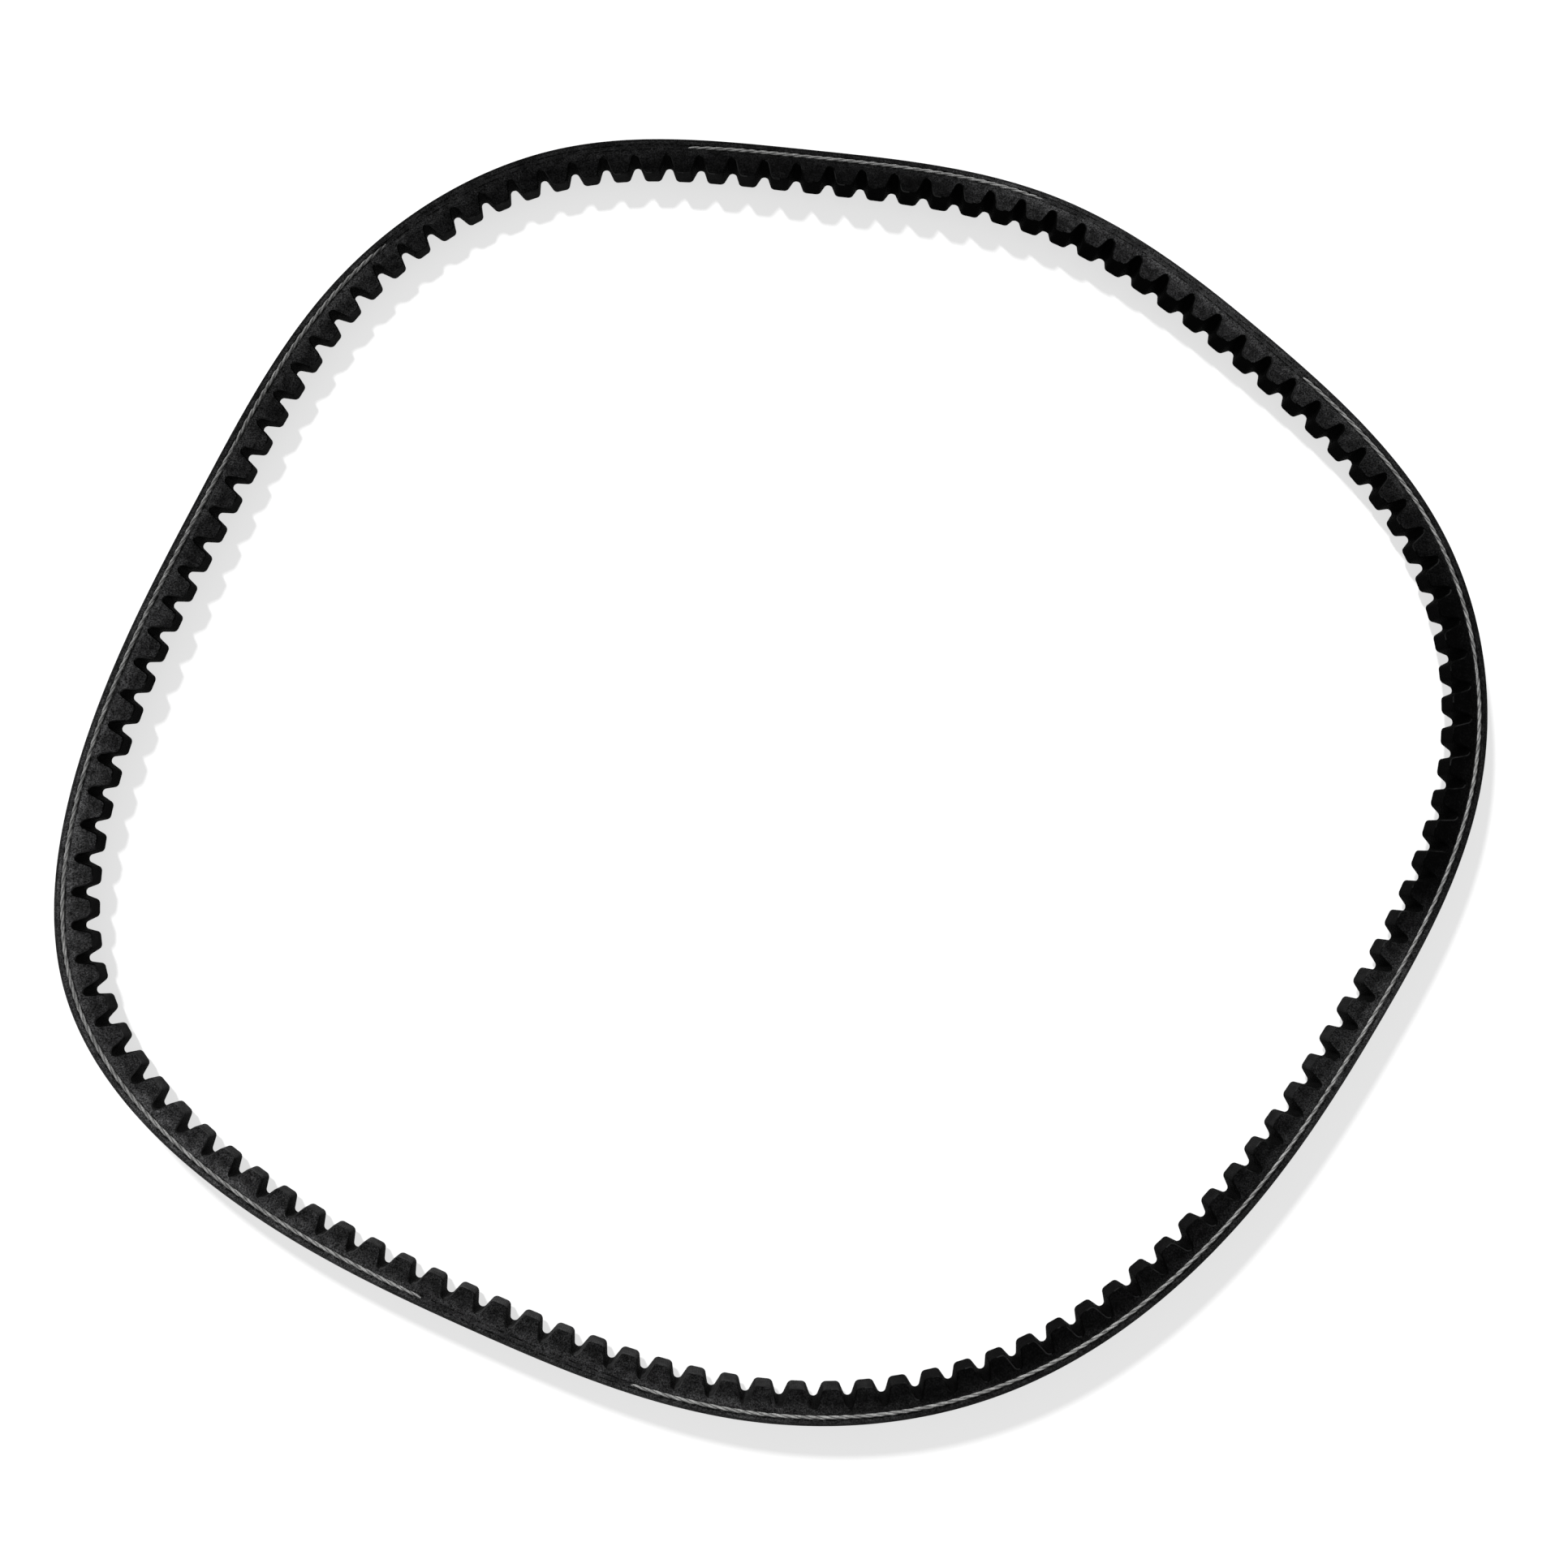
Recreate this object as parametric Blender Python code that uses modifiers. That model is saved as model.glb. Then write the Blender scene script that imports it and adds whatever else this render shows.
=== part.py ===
"""Raw-edge cogged V-belt lying on its side in a relaxed loop.

Each ply is modelled straight, as one cog pitch along +X that an Array repeats,
and a Curve modifier bends it round the closed path of the cord line. In the
straight form +X runs along the belt, +Y points from the cord line towards the
cog tips (the inside of the loop) and +Z runs across the belt's width.
"""
import math

import bmesh
import bpy

MM = 0.001

# Belt section
TOP_WIDTH = 10.0 * MM
SECTION_HEIGHT = 8.0 * MM
WEDGE_ANGLE = math.radians(36.0)
OUTSIDE_LENGTH = 1100.0 * MM
CORD_DEPTH = 1.80 * MM

# Plies, from the back to the cogs
BACK_FABRIC_THICKNESS = 0.45 * MM
OVERCORD_THICKNESS = 0.45 * MM
ADHESION_GUM_THICKNESS = 0.18 * MM
FACING_THICKNESS = 0.30 * MM
BOND_GAP = 0.08 * MM

# Tensile cords: an S-twist and a Z-twist cord wound side by side
CORD_DIAMETER = 0.95 * MM
CORD_SPACING = 1.10 * MM
CORD_TURNS = 3
CORD_TUBE_RESOLUTION = 0

# Cogs: half widths of the notch and the depths they lie at, from root to mouth
COG_COUNT = 122
NOTCH_CENTRE = 1.50 * MM
NOTCH_ROOT_HALF_WIDTH = 0.50 * MM
NOTCH_ROOT_DEPTH = 3.80 * MM
NOTCH_SHOULDER_HALF_WIDTH = 1.05 * MM
NOTCH_SHOULDER_DEPTH = 4.50 * MM
NOTCH_WALL_HALF_WIDTH = 2.05 * MM
NOTCH_WALL_DEPTH = 7.30 * MM
NOTCH_MOUTH_HALF_WIDTH = 3.00 * MM

CORD_LENGTH = OUTSIDE_LENGTH - 2.0 * math.pi * CORD_DEPTH
COG_PITCH = CORD_LENGTH / COG_COUNT
TAPER = math.tan(WEDGE_ANGLE / 2.0)
WELD_DISTANCE = 0.02 * MM

# The relaxed loop: control points of the cord line (x mm, y mm) going
# anticlockwise, and how far the section leans outwards there (degrees)
LOOP_POINTS = (
    (188, -7, 12), (181, 64, 0), (129, 113, 13), (76, 156, 19),
    (6, 163, 6), (-63, 172, -12), (-123, 132, -13), (-152, 69, -9),
    (-180, 9, -1), (-191, -64, -3), (-138, -115, -5), (-78, -143, -7),
    (-13, -169, 2), (57, -164, 4), (114, -123, 6), (153, -68, 0),
)
SPLINE_ORDER = 4
SPLINE_RESOLUTION = 24

# Colour, roughness and metallic value of each ply
FINISHES = {
    "back_fabric": ((0.030, 0.030, 0.032), 0.85, 0.0),
    "overcord_rubber": ((0.045, 0.045, 0.047), 0.70, 0.0),
    "adhesion_gum_outer": ((0.020, 0.020, 0.021), 0.60, 0.0),
    "tensile_cord_s": ((0.42, 0.42, 0.41), 0.80, 0.0),
    "tensile_cord_z": ((0.40, 0.40, 0.39), 0.80, 0.0),
    "adhesion_gum_inner": ((0.020, 0.020, 0.021), 0.60, 0.0),
    "compression_rubber": ((0.042, 0.042, 0.044), 0.75, 0.0),
    "cog_facing_fabric": ((0.025, 0.025, 0.027), 0.80, 0.0),
}


def clear_scene():
    for old in list(bpy.data.objects):
        bpy.data.objects.remove(old, do_unlink=True)


def make_collection(name):
    collection = bpy.data.collections.new(name)
    bpy.context.scene.collection.children.link(collection)
    return collection


def make_material(name):
    colour, roughness, metallic = FINISHES[name]
    material = bpy.data.materials.new(name)
    material.use_nodes = True
    shader = material.node_tree.nodes["Principled BSDF"]
    shader.inputs["Base Color"].default_value = (*colour, 1.0)
    shader.inputs["Roughness"].default_value = roughness
    shader.inputs["Metallic"].default_value = metallic
    material.diffuse_color = (*colour, 1.0)
    return material


def half_width(depth):
    """Half the belt's width at a depth below its back."""
    return TOP_WIDTH / 2.0 - depth * TAPER


def path_height(lean):
    """Height of the cord line that puts the leaning section's lowest corner on the floor."""
    return half_width(0.0) * math.cos(lean) + CORD_DEPTH * math.sin(lean)


def make_belt_path(collection):
    """Closed spline of the cord line, scaled to the belt's cord length."""
    curve = bpy.data.curves.new("belt_path", "CURVE")
    curve.dimensions = "3D"
    curve.twist_mode = "Z_UP"
    curve.resolution_u = SPLINE_RESOLUTION
    curve.use_deform_bounds = False
    curve.use_radius = False
    spline = curve.splines.new("NURBS")
    spline.points.add(len(LOOP_POINTS) - 1)
    spline.order_u = SPLINE_ORDER
    spline.resolution_u = SPLINE_RESOLUTION
    spline.use_cyclic_u = True
    for point, (x, y, lean) in zip(spline.points, LOOP_POINTS):
        lean = math.radians(lean)
        point.co = (x * MM, y * MM, path_height(lean), 1.0)
        point.tilt = lean
    scale = CORD_LENGTH / spline.calc_length()
    for point in spline.points:
        point.co = (point.co.x * scale, point.co.y * scale, point.co.z, 1.0)
    path = bpy.data.objects.new("belt_path", curve)
    path.hide_render = True
    path.display_type = "WIRE"
    collection.objects.link(path)
    return path


def bend_round_path(piece, path):
    modifier = piece.modifiers.new("bend", "CURVE")
    modifier.object = path
    modifier.deform_axis = "POS_X"


def repeat_cogs(piece):
    """One block for each cog, welded into a strip as long as the path."""
    array = piece.modifiers.new("cogs", "ARRAY")
    array.fit_type = "FIXED_COUNT"
    array.count = COG_COUNT
    array.use_relative_offset = False
    array.use_constant_offset = True
    array.constant_offset_displace = (COG_PITCH, 0.0, 0.0)
    array.use_merge_vertices = True
    array.merge_threshold = WELD_DISTANCE


def close_loop(piece):
    weld = piece.modifiers.new("close", "WELD")
    weld.merge_threshold = WELD_DISTANCE


def add_piece(name, mesh, collection):
    piece = bpy.data.objects.new(name, mesh)
    piece.data.materials.append(make_material(name))
    collection.objects.link(piece)
    return piece


def ply_block(name, outer_profile, inner_profile):
    """One pitch of a ply between two profiles of (x, depth), open at both ends.

    Each profile runs from the start of the pitch to its end. The two may have
    different numbers of points, so the flank is one polygon between them.
    """
    mesh = bpy.data.meshes.new(name)
    block = bmesh.new()
    rows = []
    for profile in (outer_profile, inner_profile):
        for side in (-1.0, 1.0):
            row = []
            for x, depth in profile:
                z = side * half_width(depth)
                row.append(block.verts.new((x, depth - CORD_DEPTH, z)))
            rows.append(row)
    outer_low, outer_high, inner_low, inner_high = rows
    # every split runs from high to low along +X, so that facing plies fold alike
    for i in range(len(outer_low) - 1):
        block.faces.new((outer_high[i], outer_low[i], outer_low[i + 1], outer_high[i + 1]))
    for i in range(len(inner_low) - 1):
        block.faces.new((inner_low[i + 1], inner_low[i], inner_high[i], inner_high[i + 1]))
    block.faces.new(outer_low[::-1] + inner_low)
    block.faces.new(outer_high + inner_high[::-1])
    block.normal_update()
    bmesh.ops.triangulate(block, faces=block.faces, quad_method="FIXED", ngon_method="BEAUTY")
    block.to_mesh(mesh)
    block.free()
    return mesh


def flat_profile(depth):
    return [(0.0, depth), (COG_PITCH, depth)]


def set_back(outline, inset):
    """The outline of a notch moved inset deep into the rubber; level edges lie before and after it."""
    level = (0.0, -1.0)
    normals = [level]
    for (x, depth), (next_x, next_depth) in zip(outline, outline[1:]):
        length = math.hypot(next_x - x, next_depth - depth)
        normals.append(((next_depth - depth) / length, (x - next_x) / length))
    normals.append(level)
    moved = []
    for (x, depth), before, after in zip(outline, normals, normals[1:]):
        step = inset / (1.0 + before[0] * after[0] + before[1] * after[1])
        moved.append((x + (before[0] + after[0]) * step, depth + (before[1] + after[1]) * step))
    return moved


def cog_profile(inset):
    """Inner outline of one pitch, from a notch's near edge to the next one's, set back by inset."""
    corners = (
        (NOTCH_MOUTH_HALF_WIDTH, SECTION_HEIGHT),
        (NOTCH_WALL_HALF_WIDTH, NOTCH_WALL_DEPTH),
        (NOTCH_SHOULDER_HALF_WIDTH, NOTCH_SHOULDER_DEPTH),
        (NOTCH_ROOT_HALF_WIDTH, NOTCH_ROOT_DEPTH),
    )
    near_side = [(NOTCH_CENTRE - half, depth) for half, depth in corners]
    far_side = [(NOTCH_CENTRE + half, depth) for half, depth in reversed(corners)]
    notch = set_back(near_side + far_side, inset)
    start_x, tip_depth = notch[0]
    return notch + [(start_x + COG_PITCH, tip_depth)]


def make_ply(name, outer_profile, inner_profile, path, collection):
    piece = add_piece(name, ply_block(name, outer_profile, inner_profile), collection)
    repeat_cogs(piece)
    bend_round_path(piece, path)
    close_loop(piece)
    return piece


def make_cord(name, first_place, path, collection):
    """A cord wound in a shallow spiral from the lower flank to the upper one."""
    curve = bpy.data.curves.new(name, "CURVE")
    curve.dimensions = "3D"
    curve.bevel_depth = CORD_DIAMETER / 2.0
    curve.bevel_resolution = CORD_TUBE_RESOLUTION
    curve.use_fill_caps = True
    steps = CORD_TURNS * COG_COUNT
    rise_per_step = 2.0 * CORD_SPACING / COG_COUNT
    spline = curve.splines.new("POLY")
    spline.points.add(steps)
    for i, point in enumerate(spline.points):
        point.co = (i * COG_PITCH, 0.0, first_place + i * rise_per_step, 1.0)
    straight = bpy.data.objects.new(name + "_straight", curve)
    collection.objects.link(straight)
    evaluated = straight.evaluated_get(bpy.context.evaluated_depsgraph_get())
    mesh = bpy.data.meshes.new_from_object(evaluated)
    mesh.name = name
    bpy.data.objects.remove(straight, do_unlink=True)
    tube = bmesh.new()
    tube.from_mesh(mesh)
    bmesh.ops.remove_doubles(tube, verts=tube.verts, dist=WELD_DISTANCE)
    bmesh.ops.recalc_face_normals(tube, faces=tube.faces)
    tube.to_mesh(mesh)
    tube.free()
    mesh.materials.clear()
    piece = add_piece(name, mesh, collection)
    bend_round_path(piece, path)
    return piece


def stand_on_floor(path, pieces):
    """Moves the path so that the belt's box is centred on the origin and stands on z = 0."""
    depsgraph = bpy.context.evaluated_depsgraph_get()
    corners = []
    for piece in pieces:
        evaluated = piece.evaluated_get(depsgraph)
        corners.extend(vertex.co.copy() for vertex in evaluated.to_mesh().vertices)
        evaluated.to_mesh_clear()
    low = [min(corner[axis] for corner in corners) for axis in range(3)]
    high = [max(corner[axis] for corner in corners) for axis in range(3)]
    shift = (-(low[0] + high[0]) / 2.0, -(low[1] + high[1]) / 2.0, -low[2])
    for point in path.data.splines[0].points:
        x, y, z, weight = point.co
        point.co = (x + shift[0], y + shift[1], z + shift[2], weight)


def build_belt():
    clear_scene()
    belt = make_collection("cogged_v_belt")
    guides = make_collection("guides")
    path = make_belt_path(guides)

    fabric_inner = BACK_FABRIC_THICKNESS
    overcord_outer = fabric_inner + BOND_GAP
    overcord_inner = overcord_outer + OVERCORD_THICKNESS
    gum_above_outer = overcord_inner + BOND_GAP
    gum_above_inner = CORD_DEPTH - CORD_DIAMETER / 2.0 - BOND_GAP
    gum_below_outer = CORD_DEPTH + CORD_DIAMETER / 2.0 + BOND_GAP
    gum_below_inner = gum_below_outer + ADHESION_GUM_THICKNESS
    compression_outer = gum_below_inner + BOND_GAP

    body_profile = cog_profile(FACING_THICKNESS + BOND_GAP)
    plies = (
        ("back_fabric", flat_profile(0.0), flat_profile(fabric_inner)),
        ("overcord_rubber", flat_profile(overcord_outer), flat_profile(overcord_inner)),
        ("adhesion_gum_outer", flat_profile(gum_above_outer), flat_profile(gum_above_inner)),
        ("adhesion_gum_inner", flat_profile(gum_below_outer), flat_profile(gum_below_inner)),
        ("compression_rubber", flat_profile(compression_outer), body_profile),
        ("cog_facing_fabric", cog_profile(FACING_THICKNESS), cog_profile(0.0)),
    )
    pieces = [make_ply(name, outer, inner, path, belt) for name, outer, inner in plies]

    first_place = -(2 * CORD_TURNS + 1) * CORD_SPACING / 2.0
    pieces.append(make_cord("tensile_cord_s", first_place, path, belt))
    pieces.append(make_cord("tensile_cord_z", first_place + CORD_SPACING, path, belt))
    stand_on_floor(path, pieces)


build_belt()
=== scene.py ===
"""Looks of the raw-edge cogged V-belt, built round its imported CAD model.

Each ply is meshed straight, with +X along the belt, +Y from the cord line to
the cog tips and +Z across the width, then bent round the belt's closed path.
Positions along the belt are also told as "station": millimetres clockwise,
seen from above, from a point on the belt's right side.
"""

import math

import bpy
import numpy as np
from mathutils import Euler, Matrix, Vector


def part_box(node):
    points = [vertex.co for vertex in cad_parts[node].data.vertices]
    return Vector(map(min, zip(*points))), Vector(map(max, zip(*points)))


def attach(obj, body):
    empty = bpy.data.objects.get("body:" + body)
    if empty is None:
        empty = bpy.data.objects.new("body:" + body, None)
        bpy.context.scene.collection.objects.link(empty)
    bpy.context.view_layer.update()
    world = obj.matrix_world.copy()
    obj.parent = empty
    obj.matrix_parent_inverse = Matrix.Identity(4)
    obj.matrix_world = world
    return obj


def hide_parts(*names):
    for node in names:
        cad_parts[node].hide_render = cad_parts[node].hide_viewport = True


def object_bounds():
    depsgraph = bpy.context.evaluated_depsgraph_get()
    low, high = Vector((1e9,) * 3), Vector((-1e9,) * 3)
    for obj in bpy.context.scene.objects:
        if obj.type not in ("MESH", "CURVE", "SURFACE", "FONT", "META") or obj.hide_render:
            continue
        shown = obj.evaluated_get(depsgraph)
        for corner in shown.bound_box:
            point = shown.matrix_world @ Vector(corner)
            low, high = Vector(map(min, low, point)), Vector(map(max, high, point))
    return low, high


MM = 0.001

# The section and the path, as in the CAD source (mm, degrees)
TOP_WIDTH = 10.0
SECTION_HEIGHT = 8.0
OUTSIDE_LENGTH = 1100.0
CORD_DEPTH = 1.80
TAPER = math.tan(math.radians(18.0))
COG_COUNT = 122
LENGTH = OUTSIDE_LENGTH - 2.0 * math.pi * CORD_DEPTH
PITCH = LENGTH / COG_COUNT
LOOP_POINTS = (
    (188, -7, 12), (181, 64, 0), (129, 113, 13), (76, 156, 19),
    (6, 163, 6), (-63, 172, -12), (-123, 132, -13), (-152, 69, -9),
    (-180, 9, -1), (-191, -64, -3), (-138, -115, -5), (-78, -143, -7),
    (-13, -169, 2), (57, -164, 4), (114, -123, 6), (153, -68, 0),
)

# Depths of the plies below the back
FABRIC_INNER = 0.47
OVERCORD_OUTER = 0.49
OVERCORD_INNER = 1.02
GUM_OUTER = 1.04
GUM_INNER = 2.56
BODY_OUTER = 2.58
FACING = 0.30

# Notches
NOTCH_CENTRE = 1.50
ROOT_DEPTH = 3.80
ROOT_RADIUS = 1.10
WALL_ANGLE = math.radians(20.0)
TIP_RADIUS = 1.40

# Cord: three strands
CORD_RADIUS = 0.475
STRAND_VALLEY = 0.33
CORD_LAY = 9.0
CORD_FADE = 16.0
CORD_OVERRUN = 14.0
CORD_STEP = 0.34
CORD_POINTS_AROUND = 18
CORD_BURIED = 0.46
CORD_PRESSED = 0.55
GROOVE_HALF_WIDTH = 0.43
GROOVE_DEPTH = 0.30

# Where the upper flank's cord thins out: it starts to, has, starts to recover, has recovered (station)
THIN_STRETCH = (25.0, 45.0, 120.0, 150.0)
THIN_EXTRA = 0.08

# How far along the path station 0 lies
RIGHTMOST = 1021.7

# Rings in each pitch of a ply's mesh, and the path's fineness
RINGS_PER_PITCH = 16
PATH_RESOLUTION = 48

# Evenly spaced places along the belt
EVEN = np.linspace(0.0, LENGTH, RINGS_PER_PITCH * COG_COUNT + 1)

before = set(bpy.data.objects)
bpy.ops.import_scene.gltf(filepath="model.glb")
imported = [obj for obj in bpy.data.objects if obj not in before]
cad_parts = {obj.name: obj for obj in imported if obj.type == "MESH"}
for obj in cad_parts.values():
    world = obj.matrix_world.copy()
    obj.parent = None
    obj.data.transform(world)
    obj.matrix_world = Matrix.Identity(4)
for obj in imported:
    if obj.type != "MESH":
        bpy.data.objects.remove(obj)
cad_low, cad_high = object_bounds()


# ---------------------------------------------------------------- path

def half_width(depth):
    return TOP_WIDTH / 2.0 - depth * TAPER


def make_path():
    curve = bpy.data.curves.new("belt_path", "CURVE")
    curve.dimensions = "3D"
    curve.twist_mode = "Z_UP"
    curve.resolution_u = PATH_RESOLUTION
    curve.use_deform_bounds = False
    curve.use_radius = False
    spline = curve.splines.new("NURBS")
    spline.points.add(len(LOOP_POINTS) - 1)
    spline.order_u = 4
    spline.resolution_u = PATH_RESOLUTION
    spline.use_cyclic_u = True
    for point, (x, y, lean) in zip(spline.points, LOOP_POINTS):
        lean = math.radians(lean)
        height = half_width(0.0) * math.cos(lean) + CORD_DEPTH * math.sin(lean)
        point.co = (x * MM, y * MM, height * MM, 1.0)
        point.tilt = lean
    scale = LENGTH * MM / spline.calc_length()
    for point in spline.points:
        point.co = (point.co.x * scale, point.co.y * scale, point.co.z, 1.0)
    path = bpy.data.objects.new("belt_path", curve)
    path.hide_render = True
    bpy.context.scene.collection.objects.link(path)
    return path


def bent(name, mesh, path):
    """The straight mesh bent round the path, as a finished mesh object."""
    straight = bpy.data.objects.new(name + "_straight", mesh)
    bpy.context.scene.collection.objects.link(straight)
    curve = straight.modifiers.new("bend", "CURVE")
    curve.object = path
    curve.deform_axis = "POS_X"
    weld = straight.modifiers.new("close", "WELD")
    weld.merge_threshold = 0.002 * MM
    depsgraph = bpy.context.evaluated_depsgraph_get()
    final = bpy.data.meshes.new_from_object(straight.evaluated_get(depsgraph))
    final.name = name
    bpy.data.objects.remove(straight, do_unlink=True)
    piece = bpy.data.objects.new(name, final)
    bpy.context.scene.collection.objects.link(piece)
    return piece


def move_path_onto(path, node):
    """Shifts the path so that a ply of the node's section lands where the CAD node is."""
    trial = bent("trial", ply_mesh("trial", EVEN, EVEN, 0.0, FABRIC_INNER, 1), path)
    corners = np.array([corner.co for corner in trial.data.vertices])
    cad_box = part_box(node)
    shift = [(cad_box[0][axis] + cad_box[1][axis] - corners[:, axis].min() - corners[:, axis].max()) / 2.0
             for axis in range(3)]
    bpy.data.objects.remove(trial, do_unlink=True)
    for point in path.data.splines[0].points:
        x, y, z, weight = point.co
        point.co = (x + shift[0], y + shift[1], z + shift[2], weight)


# ---------------------------------------------------------------- meshes

def ripple(x, across, seed, size):
    """Smooth unevenness that closes up round the belt, within about +-size."""
    draw = np.random.default_rng(seed)
    total = np.zeros(np.broadcast(x, across).shape)
    for cycles in (61, 149, 263, 457, 811):
        turns = cycles + draw.integers(-20, 20)
        phase, slant = draw.uniform(0.0, 2.0 * math.pi, 2)
        total += np.sin(2.0 * math.pi * turns * x / LENGTH + phase + slant * across)
    return size * total / 3.0


def grid_mesh(name, x, depth, z, smooth_angle=32.0, caps=False, strand=None):
    """A tube through rings of points: arrays of (station, point in ring), in mm."""
    rings, points = x.shape
    vertices = np.stack((x, depth - CORD_DEPTH, z), axis=-1).reshape(-1, 3)
    i = np.arange(rings - 1)[:, None]
    j = np.arange(points)[None, :]
    after = (j + 1) % points
    this, following = i * points, (i + 1) * points
    quads = np.stack((this + j, following + j, following + after, this + after), axis=-1)
    faces = quads.reshape(-1, 4).tolist()
    if caps:
        faces.append(list(range(points)))
        faces.append(list(range((rings - 1) * points, rings * points))[::-1])
    mesh = bpy.data.meshes.new(name)
    mesh.from_pydata((vertices * MM).tolist(), [], faces)
    mesh.update()
    mesh.polygons.foreach_set("use_smooth", [True] * len(mesh.polygons))
    mesh.set_sharp_from_angle(angle=math.radians(smooth_angle))
    corner_vertex = np.zeros(len(mesh.loops), int)
    mesh.loops.foreach_get("vertex_index", corner_vertex)
    straight = np.stack((x, depth, z), axis=-1).reshape(-1, 3)[corner_vertex]
    attribute = mesh.attributes.new("belt", "FLOAT_VECTOR", "CORNER")
    attribute.data.foreach_set("vector", straight.astype(np.float32).ravel())
    if strand is not None:
        attribute = mesh.attributes.new("strand", "FLOAT", "CORNER")
        attribute.data.foreach_set("value", strand.reshape(-1)[corner_vertex].astype(np.float32))
    return mesh


def ply_mesh(name, x_outer, x_inner, outer, inner, rows, bevel=0.035, rough=0.0, seed=1, across=1,
             groove=None):
    """A ply between two depths (numbers, or arrays along the belt), bevelled along its cut flanks."""
    x_outer = np.asarray(x_outer, float)
    outer = np.broadcast_to(np.asarray(outer, float), x_outer.shape)
    inner = np.broadcast_to(np.asarray(inner, float), x_outer.shape)
    steps = np.concatenate(([0.0], np.linspace(0.0, 1.0, rows + 1), [1.0]))
    lift = np.zeros(rows + 3)
    lift[0] = lift[-1] = -bevel
    depth_rows, x_rows, z_rows = [], [], []
    for k, (t, drop) in enumerate(zip(steps, lift)):
        inset = bevel if k == 1 else -bevel if k == rows + 1 else 0.0
        depth = outer + (inner - outer) * t + inset
        x = x_outer + (x_inner - x_outer) * t
        depth_rows.append(depth)
        x_rows.append(x)
        z_rows.append(half_width(depth) + drop)
    depth_rows, x_rows, z_rows = (np.stack(r, axis=-1) for r in (depth_rows, x_rows, z_rows))
    upper = z_rows + ripple(x_rows, depth_rows, seed, rough)
    lower = -z_rows + ripple(x_rows, depth_rows, seed + 50, rough)
    if groove is not None:
        upper = upper - groove(x_rows, depth_rows, 1)
        lower = lower + groove(x_rows, depth_rows, -1)
    spread = np.linspace(0.0, 1.0, across + 1)[1:-1]
    # round the ring: back face from low to high, upper flank, inner face, lower flank
    ring_depth = [depth_rows[:, :1] + 0.0 * s for s in spread] + [depth_rows]
    ring_x = [x_rows[:, :1] + 0.0 * s for s in spread] + [x_rows]
    ring_z = [lower[:, :1] + (upper[:, :1] - lower[:, :1]) * s for s in spread] + [upper]
    ring_depth += [depth_rows[:, -1:] + 0.0 * s for s in spread] + [depth_rows[:, ::-1]]
    ring_x += [x_rows[:, -1:] + 0.0 * s for s in spread] + [x_rows[:, ::-1]]
    ring_z += [upper[:, -1:] + (lower[:, -1:] - upper[:, -1:]) * s for s in spread] + [lower[:, ::-1]]
    return grid_mesh(name, *(np.concatenate(ring, 1) for ring in (ring_x, ring_depth, ring_z)))


def notch_profile():
    """One pitch of the cogs' outline, tip centre to tip centre: x from the notch's centre, and depth."""
    turn = math.pi / 2.0 - WALL_ANGLE
    root = [(ROOT_RADIUS * math.sin(a), ROOT_DEPTH + ROOT_RADIUS * (1.0 - math.cos(a)))
            for a in np.linspace(0.0, turn, 8)]
    wall_x, wall_depth = root[-1]
    tip_depth = SECTION_HEIGHT - TIP_RADIUS * (1.0 - math.sin(WALL_ANGLE))
    tip_x = wall_x + (tip_depth - wall_depth) * math.tan(WALL_ANGLE)
    centre_x = tip_x + TIP_RADIUS * math.cos(WALL_ANGLE)
    centre_depth = SECTION_HEIGHT - TIP_RADIUS
    wall = [(wall_x + (tip_x - wall_x) * t, wall_depth + (tip_depth - wall_depth) * t)
            for t in (0.33, 0.67)]
    corner = [(centre_x - TIP_RADIUS * math.cos(a), centre_depth + TIP_RADIUS * math.sin(a))
              for a in np.linspace(WALL_ANGLE, math.pi / 2.0, 7)]
    flat = [(centre_x + (PITCH / 2.0 - centre_x) * t, SECTION_HEIGHT) for t in (0.5, 1.0)]
    half = np.array(root + wall + corner + flat)
    mirrored = half[:0:-1] * (-1.0, 1.0)
    return np.concatenate((mirrored, half))


def closed(values, added):
    """The values with the first one repeated at the end, one lap (added) further on."""
    return np.append(values, values[0] + added)


def cog_lines():
    """The cogs' outline all round, and the same line set FACING deep into the rubber."""
    profile = notch_profile()
    step = np.gradient(profile, axis=0)
    step[0] = step[-1] = (1.0, 0.0)
    normal = np.stack((step[:, 1], -step[:, 0]), axis=-1) / np.linalg.norm(step, axis=1)[:, None]
    inset = profile + FACING * normal
    start = NOTCH_CENTRE + PITCH
    x = np.concatenate([profile[:-1, 0] + start + PITCH * k for k in range(COG_COUNT)])
    x_in = np.concatenate([inset[:-1, 0] + start + PITCH * k for k in range(COG_COUNT)])
    depth = np.tile(profile[:-1, 1], COG_COUNT)
    depth_in = np.tile(inset[:-1, 1], COG_COUNT)
    return closed(x, LENGTH), closed(depth, 0.0), closed(x_in, LENGTH), closed(depth_in, 0.0)


# ---------------------------------------------------------------- exposed cord

# Runs where the cut lays a cord open, on the upper flank (1) and the lower one (-1):
# from station, to station, lay (+1 or -1), how deep it stays sunk
RUNS = {
    1: (
        (963, 1066, 1, 0.25), (1054, 1393, -1, 0.27), (352, 632, -1, 0.21),
        (622, 700, 1, 0.23), (780, 886, 1, 0.27),
    ),
    -1: ((40, 330, 1, 0.2), (352, 700, -1, 0.2), (735, 1010, 1, 0.2)),
}


def ease(value, start, end):
    t = np.clip((value - start) / (end - start), 0.0, 1.0)
    return t * t * (3.0 - 2.0 * t)


def run_cover(station, run):
    """1 where the run shows in full, falling to 0 past its ends."""
    start, end = run[:2]
    rising = ease(station, start - 2.0, start + CORD_FADE)
    falling = ease(station, end - CORD_FADE, end + 2.0)
    return rising * (1.0 - falling)


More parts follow.
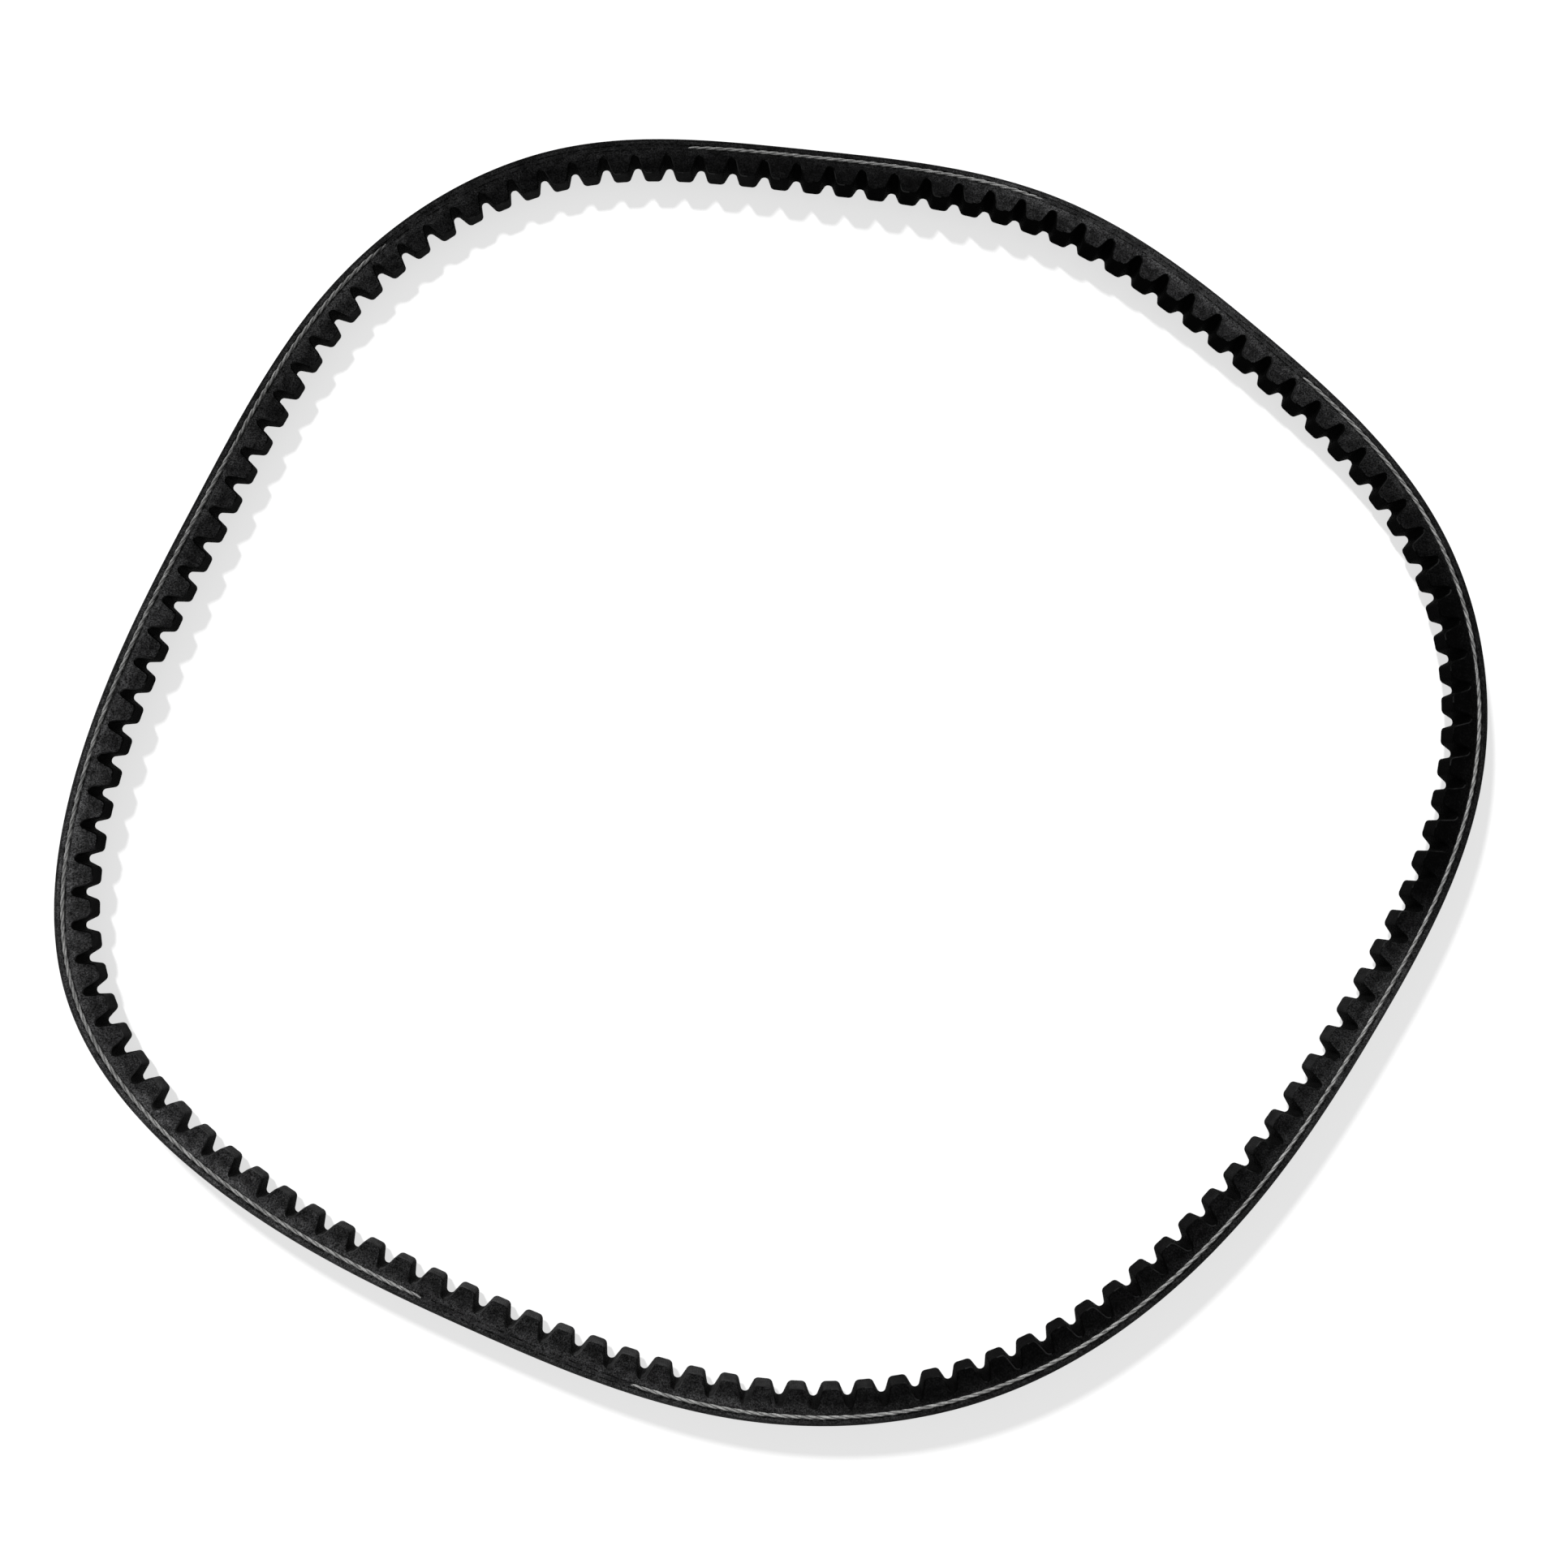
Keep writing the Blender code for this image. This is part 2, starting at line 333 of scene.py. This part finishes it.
def shown(station, side):
    """How far the cord layer is laid open at a station, 0 to 1."""
    total = np.zeros(np.shape(station))
    for run in RUNS[side]:
        for lap in (-LENGTH, 0.0, LENGTH):
            total = np.maximum(total, run_cover(station + lap, run))
    return total


def cord_depth(station, side):
    """Depth of the cord below the back: it wanders a little as it goes round."""
    turn = 2.0 * math.pi * station / LENGTH
    slow = 0.10 * np.sin(turn + 0.4 * side)
    middling = 0.06 * np.sin(3.0 * turn + side)
    return CORD_DEPTH + slow + middling + 0.02 * np.sin(17.0 * turn)


def station_of(x):
    return RIGHTMOST - x


def cord_groove(x, depth, side):
    """How far the gum is cut back round the exposed cord."""
    station = np.mod(station_of(x), LENGTH)
    off = (depth - cord_depth(station, side)) / GROOVE_HALF_WIDTH
    return GROOVE_DEPTH * np.sqrt(np.clip(1.0 - off * off, 0.0, 1.0)) * ease(shown(station, side), 0.05, 0.5)


def cord_mesh(name, lay):
    """All runs of the cord with this lay: closed three-strand tubes that dive into the gum at their ends."""
    parts = []
    for side in (1, -1):
        for run in RUNS[side]:
            if run[2] == lay:
                parts.append(cord_run(name, side, run))
    holders = [bpy.data.objects.new(name, part) for part in parts]
    for holder in holders:
        bpy.context.scene.collection.objects.link(holder)
    with bpy.context.temp_override(active_object=holders[0], selected_editable_objects=holders):
        bpy.ops.object.join()
    mesh = holders[0].data
    bpy.data.objects.remove(holders[0], do_unlink=True)
    return mesh


def cord_run(name, side, run):
    """One run: the cut flattens its top, so it stands only a little proud of the flank."""
    start, end, lay, sunk = run
    station = np.arange(start - CORD_OVERRUN, end + CORD_OVERRUN, CORD_STEP)
    around = np.linspace(0.0, 2.0 * math.pi, CORD_POINTS_AROUND, endpoint=False)
    turn = -lay * side * 2.0 * math.pi * station[:, None] / CORD_LAY
    lobe = (0.5 + 0.5 * np.cos(3.0 * (around[None, :] - turn))) ** 0.7
    radius = STRAND_VALLEY + (CORD_RADIUS - STRAND_VALLEY) * lobe
    round_belt = np.mod(station, LENGTH)
    thinner, thinnest, fuller, fullest = THIN_STRETCH
    thinned = ease(round_belt, thinner, thinnest) * (1.0 - ease(round_belt, fuller, fullest))
    thin = THIN_EXTRA * thinned * (side == 1)
    uneven = ripple(station, 0.0, 7 + start, 0.04)
    buried = sunk + thin + uneven + CORD_BURIED * (1.0 - run_cover(station, run))
    rise = radius * np.cos(around)[None, :] - buried[:, None]
    rise = np.where(rise > 0.0, rise * CORD_PRESSED, rise)
    middle = cord_depth(round_belt, side)[:, None]
    off = radius * np.sin(around)[None, :]
    z = side * (half_width(middle) - off * TAPER + rise)
    x = np.broadcast_to((RIGHTMOST - station)[:, None] + LENGTH, z.shape)
    rows = slice(None, None, -1) if side == 1 else slice(None)
    return grid_mesh(name, x[rows], (middle + off)[rows], z[rows], 70.0, caps=True, strand=lobe[rows])


# ---------------------------------------------------------------- node materials

class Nodes:
    """Short names for wiring a material's node tree."""

    def __init__(self, name):
        self.material = bpy.data.materials.new(name)
        self.material.use_nodes = True
        self.tree = self.material.node_tree
        self.shader = self.tree.nodes["Principled BSDF"]
        belt = self.tree.nodes.new("ShaderNodeAttribute")
        belt.attribute_name = "belt"
        split = self.tree.nodes.new("ShaderNodeSeparateXYZ")
        self.tree.links.new(belt.outputs["Vector"], split.inputs[0])
        self.x, self.depth, self.z = split.outputs
        self.belt = belt.outputs["Vector"]
        self.place = self.tree.nodes.new("ShaderNodeTexCoord").outputs["Object"]

    def put(self, socket, value):
        if isinstance(value, bpy.types.NodeSocket):
            self.tree.links.new(value, socket)
        else:
            socket.default_value = value

    def math(self, operation, a, b=0.0, c=0.0, clamp=False):
        node = self.tree.nodes.new("ShaderNodeMath")
        node.operation = operation
        node.use_clamp = clamp
        for socket, value in zip(node.inputs, (a, b, c)):
            self.put(socket, value)
        return node.outputs[0]

    def span(self, value, low, high, to_low=0.0, to_high=1.0):
        """Maps low..high onto to_low..to_high, smoothly and clamped."""
        node = self.tree.nodes.new("ShaderNodeMapRange")
        node.interpolation_type = "SMOOTHSTEP"
        for socket, item in zip(node.inputs, (value, low, high, to_low, to_high)):
            self.put(socket, item)
        return node.outputs[0]

    def noise(self, per_mm, detail=3.0, roughness=0.6, stretch=None):
        """Noise with about per_mm cells in a millimetre, times stretch (along, through, across the belt)."""
        node = self.tree.nodes.new("ShaderNodeTexNoise")
        node.inputs["Detail"].default_value = detail
        node.inputs["Roughness"].default_value = roughness
        if stretch is None:
            self.put(node.inputs["Vector"], self.place)
            node.inputs["Scale"].default_value = per_mm * 1000.0
        else:
            scaled = self.tree.nodes.new("ShaderNodeVectorMath")
            scaled.operation = "MULTIPLY"
            self.put(scaled.inputs[0], self.belt)
            scaled.inputs[1].default_value = stretch
            self.put(node.inputs["Vector"], scaled.outputs[0])
            node.inputs["Scale"].default_value = per_mm
        return node.outputs[0]

    def specks(self, per_mm, size):
        """1 inside small round flecks, 0 between them."""
        node = self.tree.nodes.new("ShaderNodeTexVoronoi")
        self.put(node.inputs["Vector"], self.place)
        node.inputs["Scale"].default_value = per_mm * 1000.0
        return self.span(node.outputs["Distance"], size * 0.5, size, 1.0, 0.0)

    def tone(self, stops):
        """A brightness that follows the belt round: stops of (station in mm, value)."""
        station = self.math("SUBTRACT", RIGHTMOST, self.x)
        ahead = self.math("ADD", station, 4.0 * LENGTH)
        turns = self.math("FRACT", self.math("DIVIDE", ahead, LENGTH))
        ramp = self.tree.nodes.new("ShaderNodeValToRGB")
        ramp.color_ramp.interpolation = "LINEAR"
        elements = ramp.color_ramp.elements
        while len(elements) < len(stops):
            elements.new(0.5)
        for element, (at, value) in zip(elements, stops):
            element.position = at / LENGTH
            element.color = (value, value, value, 1.0)
        self.put(ramp.inputs[0], turns)
        return ramp.outputs[0]

    def product(self, *values):
        total = values[0]
        for value in values[1:]:
            total = self.math("MULTIPLY", total, value)
        return total

    def grey(self, brightness, tint=(1.0, 1.0, 1.0)):
        """Sends brightness, tinted, to the base colour."""
        scaled = self.tree.nodes.new("ShaderNodeVectorMath")
        scaled.operation = "SCALE"
        scaled.inputs[0].default_value = tint
        self.put(scaled.inputs["Scale"], brightness)
        self.put(self.shader.inputs["Base Color"], scaled.outputs[0])

    def bump(self, height, distance_mm, strength=1.0):
        node = self.tree.nodes.new("ShaderNodeBump")
        node.inputs["Strength"].default_value = strength
        node.inputs["Distance"].default_value = distance_mm * MM
        self.put(node.inputs["Height"], height)
        self.put(self.shader.inputs["Normal"], node.outputs[0])

    def weave(self, u, v):
        """Height of a plain weave whose threads run along u and v, one thread to a unit."""
        over_u = self.math("ABSOLUTE", self.math("SINE", self.math("MULTIPLY", v, math.pi)))
        over_v = self.math("ABSOLUTE", self.math("SINE", self.math("MULTIPLY", u, math.pi)))
        cells = self.math("ADD", self.math("FLOOR", u), self.math("FLOOR", v))
        which = self.math("MULTIPLY", self.math("FRACT", self.math("MULTIPLY", cells, 0.5)), 2.0)
        blend_v = self.math("MULTIPLY", over_v, which)
        return self.math("MULTIPLY_ADD", over_u, self.math("SUBTRACT", 1.0, which), blend_v)


# Specular levels
MATT = 0.02
SATIN = 0.05
YARN = 0.15

# Threads per mm in the back's weave, along each axis of the belt
THREADS_PER_MM = 1.55

# How bright the cut flank is round the belt, partly dust and partly painted light and shade, and how bright
# the facing is, which is painted light and shade: (station, value)
FLANK_DUST_AND_PAINTED_LIGHT = (
    (0, 0.04), (33, 0.04), (50, 0.50), (60, 0.75), (87, 0.65), (114, 0.30), (141, 0.18), (197, 0.07),
    (225, 0.15), (253, 0.40), (272, 0.75), (328, 0.65), (355, 0.60), (383, 1.00), (438, 1.40), (465, 1.10),
    (493, 1.45), (521, 1.90), (549, 1.30), (576, 1.40), (602, 0.90), (654, 0.90), (680, 1.40), (715, 0.75),
    (741, 0.40), (767, 0.45), (793, 0.25), (851, 0.25), (876, 1.15), (979, 1.00), (1014, 0.35), (1041, 0.04),
)
# painted light and shade: the facing is lighter where the lamp falls on the cogs and darker where it does not
FACING_PAINTED_LIGHT = (
    (0, 0.02), (33, 0.10), (60, 0.50), (87, 0.70), (114, 0.55), (141, 0.22), (197, 0.12), (225, 0.22),
    (253, 1.00), (272, 1.30), (300, 1.50), (328, 1.80), (383, 1.50), (438, 1.90), (465, 0.70), (493, 0.30),
    (521, 0.05), (576, 0.10), (602, 0.20), (654, 0.35), (741, 0.60), (793, 0.50), (818, 0.06), (876, 0.02),
)
# Which side of each notch the facing's painted highlight lies on: the clockwise side (1) or the other (0);
# where it is 0, that lit wall also gets less painted shade
PAINTED_LIGHT_SIDE = ((0, 1.0), (250, 1.0), (275, 0.0), (420, 0.0), (450, 1.0))


def rubber_flank(nodes, base, grain=1.0, lift=0.0):
    """Knife-cut charcoal rubber: fibre flecks, smears, and brighter by the cord. lift evens out the tone."""
    fine = nodes.noise(2.8, 3.0, 0.85)
    blotch = nodes.noise(0.35, 4.0, 0.6)
    smear = nodes.noise(1.0, 3.0, 0.6, stretch=(0.10, 0.9, 0.9))
    near_cord = nodes.span(nodes.depth, 2.3, 5.6, 2.1, 0.9)
    grainy = nodes.span(fine, 0.36, 0.66, 1.0 - 0.92 * grain, 1.0 + 1.15 * grain)
    mottled = nodes.span(blotch, 0.30, 0.70, 0.55, 1.45)
    smeared = nodes.span(smear, 0.35, 0.70, 0.80, 1.30)
    flecks = nodes.specks(1.6, 0.20)
    flecked = nodes.math("MULTIPLY_ADD", flecks, grain, 1.0)
    # the tone round the belt is partly dust and partly painted light and shade
    tone = nodes.math("ADD", nodes.tone(FLANK_DUST_AND_PAINTED_LIGHT), lift)
    cut = nodes.product(tone, grainy, mottled, smeared, flecked, near_cord, base)
    dust = nodes.product(nodes.span(fine, 0.54, 0.70), near_cord, 0.0026)
    nodes.grey(nodes.math("ADD", cut, dust), (1.0, 1.0, 1.02))
    nodes.bump(nodes.math("MULTIPLY_ADD", flecks, 0.3, fine), 0.06, 0.8)
    nodes.put(nodes.shader.inputs["Roughness"], nodes.span(fine, 0.3, 0.7, 0.62, 0.88))


def material_compression():
    nodes = Nodes("compression_rubber_cut")
    rubber_flank(nodes, 0.0125)
    nodes.shader.inputs["Specular IOR Level"].default_value = MATT
    return nodes.material


def material_overcord():
    nodes = Nodes("overcord_rubber_cut")
    rubber_flank(nodes, 0.0085, 0.9, 0.30)
    nodes.shader.inputs["Specular IOR Level"].default_value = MATT
    return nodes.material


def material_gum():
    """Gum round the cords: in line with each cord's sides it is darkened in small spots, painted shade of
    pits where the gum is pulled out between the strands.
    """
    nodes = Nodes("adhesion_gum_cut")
    rubber_flank(nodes, 0.0075, 0.7, 0.30)
    off = nodes.math("ABSOLUTE", nodes.math("SUBTRACT", nodes.depth, CORD_DEPTH))
    beside = nodes.product(nodes.span(off, 0.34, 0.44), nodes.span(off, 0.58, 0.70, 1.0, 0.0))
    # painted shade of the pits, in spots beside the cord
    painted_pit_spots = nodes.span(nodes.noise(1.0, 1.0, 0.5, stretch=(1.1, 0.6, 0.6)), 0.44, 0.54)
    painted_pit_shade = nodes.math("SUBTRACT", 1.0, nodes.product(beside, painted_pit_spots, 0.9))
    socket = nodes.shader.inputs["Base Color"]
    colour = socket.links[0].from_socket
    painted_pit_darkening = nodes.tree.nodes.new("ShaderNodeVectorMath")
    painted_pit_darkening.operation = "SCALE"
    nodes.put(painted_pit_darkening.inputs[0], colour)
    nodes.put(painted_pit_darkening.inputs["Scale"], painted_pit_shade)
    nodes.put(socket, painted_pit_darkening.outputs[0])
    nodes.shader.inputs["Specular IOR Level"].default_value = MATT
    return nodes.material


def material_back():
    """Rubberised cover fabric on the back, woven on the bias; its cut edge shows the yarn ends."""
    nodes = Nodes("back_fabric_weave")
    across = nodes.math("MULTIPLY", nodes.z, THREADS_PER_MM)
    # a whole number of threads goes round the belt, so that the weave has no seam
    along = nodes.math("MULTIPLY", nodes.x, round(LENGTH * THREADS_PER_MM) / LENGTH)
    u = nodes.math("ADD", along, across)
    v = nodes.math("SUBTRACT", along, across)
    threads = nodes.weave(u, v)
    on_back = nodes.span(nodes.depth, 0.02, 0.06, 1.0, 0.0)
    fine = nodes.noise(5.0, 4.0, 0.7)
    blotch = nodes.noise(0.12, 4.0, 0.6)
    edge_yarns = nodes.noise(1.0, 2.0, 0.5, stretch=(3.2, 5.0, 5.0))
    woven = nodes.span(threads, 0.0, 1.0, 0.55, 1.25)
    pattern = nodes.math("MULTIPLY_ADD", on_back, nodes.math("SUBTRACT", woven, 1.0), 1.0)
    worn = nodes.span(blotch, 0.30, 0.72, 0.70, 1.35)
    grainy = nodes.span(fine, 0.30, 0.72, 0.55, 1.55)
    yarns = nodes.span(edge_yarns, 0.38, 0.66, 0.55, 1.55)
    # brightness round the belt: the flank's dust and painted light and shade, lifted
    tone = nodes.math("ADD", nodes.tone(FLANK_DUST_AND_PAINTED_LIGHT), 0.35)
    nodes.grey(nodes.product(tone, pattern, worn, grainy, yarns, 0.0115), (1.0, 1.0, 1.02))
    weave_height = nodes.math("MULTIPLY", threads, on_back)
    nodes.bump(nodes.math("MULTIPLY_ADD", fine, 0.35, weave_height), 0.09, 0.9)
    nodes.put(nodes.shader.inputs["Roughness"], nodes.span(threads, 0.0, 1.0, 0.80, 0.62))
    nodes.shader.inputs["Specular IOR Level"].default_value = SATIN
    return nodes.material


def material_facing():
    """Thin rubberised knit moulded over cogs and notches, with painted light: its brightness round the belt,
    painted shade in the notches and a painted highlight on the lit cut edge.
    """
    nodes = Nodes("cog_facing_knit")
    wale = nodes.math("MULTIPLY", nodes.z, 2.3)
    along = nodes.math("ADD", nodes.math("MULTIPLY", nodes.x, 1.9), nodes.math("MULTIPLY", nodes.depth, 1.9))
    knit = nodes.weave(along, wale)
    fine = nodes.noise(5.0, 4.0, 0.7)
    blotch = nodes.noise(0.30, 4.0, 0.6)
    grainy = nodes.span(fine, 0.30, 0.72, 0.50, 1.55)
    worn = nodes.span(blotch, 0.30, 0.70, 0.65, 1.35)
    ribbed = nodes.span(knit, 0.0, 1.0, 0.75, 1.15)
    half = nodes.math("MULTIPLY_ADD", nodes.depth, -TAPER, TOP_WIDTH / 2.0)
    below_edge = nodes.math("SUBTRACT", half, nodes.math("ABSOLUTE", nodes.z))
    # painted highlight: a patchy light line along the facing's cut edge, on the lit side of each notch
    cut_edge = nodes.span(below_edge, 0.03, 0.14, 1.0, 0.0)
    pitches = nodes.math("DIVIDE", nodes.math("SUBTRACT", nodes.x, NOTCH_CENTRE), PITCH)
    clockwise = nodes.math("GREATER_THAN", nodes.math("FRACT", pitches), 0.5)
    lit_side = nodes.math("SUBTRACT", 1.0, nodes.math("ABSOLUTE", nodes.math(
        "SUBTRACT", clockwise, nodes.tone(PAINTED_LIGHT_SIDE))))
    patchy = nodes.span(nodes.noise(0.22, 3.0, 0.6), 0.40, 0.60, 0.3, 3.0)
    painted_edge_highlight = nodes.product(cut_edge, patchy, lit_side, 0.0045)
    # painted shade: the notch walls and roots are darkened, the sunlit wall less so where the painted-light
    # side is 0
    in_notch = nodes.span(nodes.depth, 7.3, 7.9, 1.0, 0.0)
    painted_sunlit_wall = nodes.product(lit_side, nodes.math("SUBTRACT", 1.0, nodes.tone(PAINTED_LIGHT_SIDE)))
    painted_notch_shade = nodes.math("MULTIPLY", in_notch, nodes.math("MULTIPLY_ADD", painted_sunlit_wall, -0.6, 0.85))
    painted_shade_multiplier = nodes.math("SUBTRACT", 1.0, painted_notch_shade)
    # painted light and shade round the belt, times the painted notch shade
    ply = nodes.product(nodes.tone(FACING_PAINTED_LIGHT), grainy, worn, ribbed, painted_shade_multiplier, 0.0130)
    nodes.grey(nodes.math("ADD", ply, painted_edge_highlight), (1.0, 1.0, 1.01))
    nodes.bump(nodes.math("MULTIPLY_ADD", fine, 0.5, knit), 0.05, 0.7)
    nodes.put(nodes.shader.inputs["Roughness"], nodes.span(fine, 0.3, 0.7, 0.70, 0.92))
    nodes.shader.inputs["Specular IOR Level"].default_value = MATT
    return nodes.material


def material_cord(name, lay):
    """Grey polyester yarn: fine filaments in each strand, darker in the valleys between strands and lighter
    on their crests.
    """
    nodes = Nodes(name)
    strand = nodes.tree.nodes.new("ShaderNodeAttribute")
    strand.attribute_name = "strand"
    crest = nodes.span(strand.outputs["Fac"], 0.08, 0.55, 0.25, 1.20)
    fine = nodes.noise(7.0, 3.0, 0.7)
    slant = nodes.math("MULTIPLY_ADD", nodes.x, 2.2, nodes.math("MULTIPLY", nodes.depth, -3.6 * lay))
    filaments = nodes.math("ABSOLUTE", nodes.math("SINE", nodes.math("MULTIPLY", slant, math.pi)))
    smudge = nodes.noise(0.5, 4.0, 0.65)
    lit = nodes.span(smudge, 0.30, 0.70, 0.55, 1.35)
    grainy = nodes.span(fine, 0.30, 0.72, 0.60, 1.40)
    striped = nodes.span(filaments, 0.0, 1.0, 0.82, 1.10)
    nodes.grey(nodes.product(crest, lit, grainy, striped, 0.19), (1.0, 1.0, 0.985))
    nodes.bump(nodes.math("MULTIPLY_ADD", fine, 0.4, filaments), 0.03, 0.8)
    nodes.put(nodes.shader.inputs["Roughness"], nodes.span(fine, 0.3, 0.7, 0.65, 0.85))
    nodes.shader.inputs["Specular IOR Level"].default_value = YARN
    return nodes.material


def material_floor():
    """A white light table: it glows a little itself, so shadows on it stay pale."""
    material = bpy.data.materials.new("studio_floor")
    material.use_nodes = True
    shader = material.node_tree.nodes["Principled BSDF"]
    shader.inputs["Base Color"].default_value = (0.36, 0.36, 0.36, 1.0)
    shader.inputs["Roughness"].default_value = 0.9
    shader.inputs["Specular IOR Level"].default_value = 0.1
    shader.inputs["Emission Color"].default_value = (1.0, 1.0, 1.0, 1.0)
    shader.inputs["Emission Strength"].default_value = 0.69
    return material


# ---------------------------------------------------------------- the belt

def add_piece(name, mesh, path, material, node):
    piece = bent(name, mesh, path)
    piece.data.materials.clear()
    piece.data.materials.append(material)
    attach(piece, "root")
    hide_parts(node)


path = make_path()
move_path_onto(path, "back_fabric")

back = ply_mesh("back_fabric_woven", EVEN, EVEN, 0.0, FABRIC_INNER, 2,
                bevel=0.05, rough=0.012, seed=11, across=4)
add_piece("back_fabric_woven", back, path, material_back(), "back_fabric")

overcord = ply_mesh("overcord_rubber_cut", EVEN, EVEN, OVERCORD_OUTER, OVERCORD_INNER, 2,
                    bevel=0.02, rough=0.012, seed=12)
add_piece("overcord_rubber_cut", overcord, path, material_overcord(),
          "overcord_rubber")

# the two halves of the gum meet on the line of the cord
gum_middle = cord_depth(np.mod(RIGHTMOST - EVEN, LENGTH), 1)
gum = material_gum()
for half, outer, inner in (("outer", GUM_OUTER, gum_middle), ("inner", gum_middle, GUM_INNER)):
    ply = "adhesion_gum_" + half
    half_mesh = ply_mesh(ply + "_cut", EVEN, EVEN, outer, inner, 9,
                         bevel=0.01, rough=0.012, seed=13, groove=cord_groove)
    add_piece(ply + "_cut", half_mesh, path, gum, ply)

line_x, line_depth, inset_x, inset_depth = cog_lines()
body = ply_mesh("compression_rubber_cogs", inset_x, inset_x, BODY_OUTER, inset_depth - 0.01, 4,
                bevel=0.02, rough=0.014, seed=14)
add_piece("compression_rubber_cogs", body, path, material_compression(),
          "compression_rubber")
facing = ply_mesh("cog_facing_knit", inset_x, line_x, inset_depth + 0.01, line_depth, 1,
                  bevel=0.05, rough=0.014, seed=14, across=3)
add_piece("cog_facing_knit", facing, path, material_facing(), "cog_facing_fabric")

for twist, lay in (("s", -1), ("z", 1)):
    cord = "tensile_cord_" + twist
    add_piece(cord + "_twist", cord_mesh(cord + "_twist", lay), path,
              material_cord(cord + "_yarn", lay), cord)


# ---------------------------------------------------------------- studio

# The key light: which way it shines per metre down, its height and diameter (m), its strength (W/m2)
KEY_TOWARD = (0.58, -1.07, -1.0)
KEY_HEIGHT = 1.25
KEY_SIZE = 0.20
KEY_STRENGTH = 4.6

# Half the floor's side, the world's strength, and the camera: its place from the middle of the belt's
# top (m), its lean (degrees), and its focal length on a sensor this wide (mm)
FLOOR_REACH = 3.0
WORLD_STRENGTH = 0.27
CAMERA_OFFSET = (-0.0052, -0.0365, 0.325)
CAMERA_LEAN_X = 5.0
CAMERA_LEAN_Y = -1.0
SENSOR_WIDTH = 36.0
FOCAL_LENGTH = 28.882


def make_studio():
    reach = FLOOR_REACH
    middle = (cad_low + cad_high) / 2.0
    mesh = bpy.data.meshes.new("studio_floor")
    corners = [(-reach, -reach, 0.0), (reach, -reach, 0.0), (reach, reach, 0.0), (-reach, reach, 0.0)]
    mesh.from_pydata(corners, [], [(0, 1, 2, 3)])
    floor = bpy.data.objects.new("studio_floor", mesh)
    bpy.context.scene.collection.objects.link(floor)
    mesh.materials.append(material_floor())

    world = bpy.data.worlds.new("studio")
    world.use_nodes = True
    background = world.node_tree.nodes["Background"]
    background.inputs["Color"].default_value = (1.0, 1.0, 1.0, 1.0)
    background.inputs["Strength"].default_value = WORLD_STRENGTH
    bpy.context.scene.world = world

    # a round lamp close enough for the shadows to spread a little, but equally bright at every distance
    lamp = bpy.data.lights.new("key", "AREA")
    lamp.shape = "DISK"
    lamp.size = KEY_SIZE
    lamp.energy = KEY_STRENGTH * math.pi
    lamp.use_nodes = True
    falloff = lamp.node_tree.nodes.new("ShaderNodeLightFalloff")
    falloff.inputs["Strength"].default_value = 1.0
    lamp.node_tree.links.new(falloff.outputs["Constant"], lamp.node_tree.nodes["Emission"].inputs["Strength"])
    key = bpy.data.objects.new("key", lamp)
    bpy.context.scene.collection.objects.link(key)
    toward = Vector(KEY_TOWARD)
    key.location = Vector((middle.x, middle.y, 0.0)) - toward * KEY_HEIGHT
    key.rotation_euler = toward.to_track_quat("-Z", "Y").to_euler()

    lens = bpy.data.cameras.new("camera")
    lens.sensor_width = SENSOR_WIDTH
    lens.lens = FOCAL_LENGTH
    lens.clip_start = 0.01
    lens.clip_end = 50.0
    camera = bpy.data.objects.new("camera", lens)
    bpy.context.scene.collection.objects.link(camera)
    camera.location = Vector((middle.x, middle.y, cad_high.z)) + Vector(CAMERA_OFFSET)
    about_x = Euler((math.radians(CAMERA_LEAN_X), 0.0, 0.0)).to_matrix()
    about_y = Euler((0.0, math.radians(CAMERA_LEAN_Y), 0.0)).to_matrix()
    camera.rotation_euler = (about_x @ about_y).to_euler()
    bpy.context.scene.camera = camera
    bpy.context.scene.view_settings.view_transform = "Standard"


make_studio()
